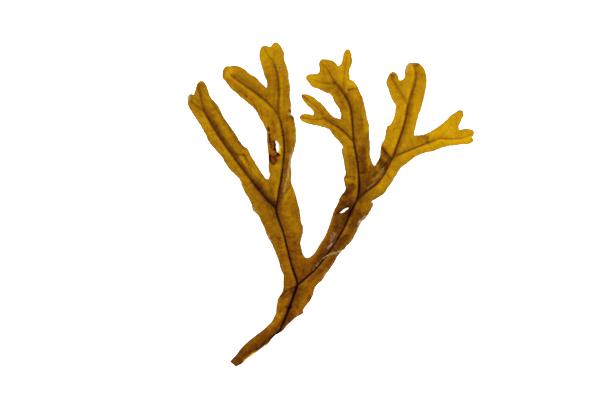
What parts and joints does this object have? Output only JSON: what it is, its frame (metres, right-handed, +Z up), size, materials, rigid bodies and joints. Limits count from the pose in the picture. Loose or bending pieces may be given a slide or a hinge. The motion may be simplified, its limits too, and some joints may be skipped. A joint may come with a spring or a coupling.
{
  "type": "horned wrack sprig",
  "caption": "Flat forked brown seaweed sprig with raised midribs, notched lobe tips and a cut stem, lying down.",
  "frame": {"origin": "under the middle of the sprig's box, on the surface it lies on", "axes": "+Y from the cut stem towards the lobe tips, +X to the right as seen from above, +Z up from the surface"},
  "size_m": [0.1238, 0.14, 0.0091],
  "materials": {
    "thallus": "wet, thin, slightly see-through blade, golden at the tips and brown at the cut stem, with dark midribs"
  },
  "bodies": {
    "root": {"thallus": "thallus"}
  },
  "joints": []
}
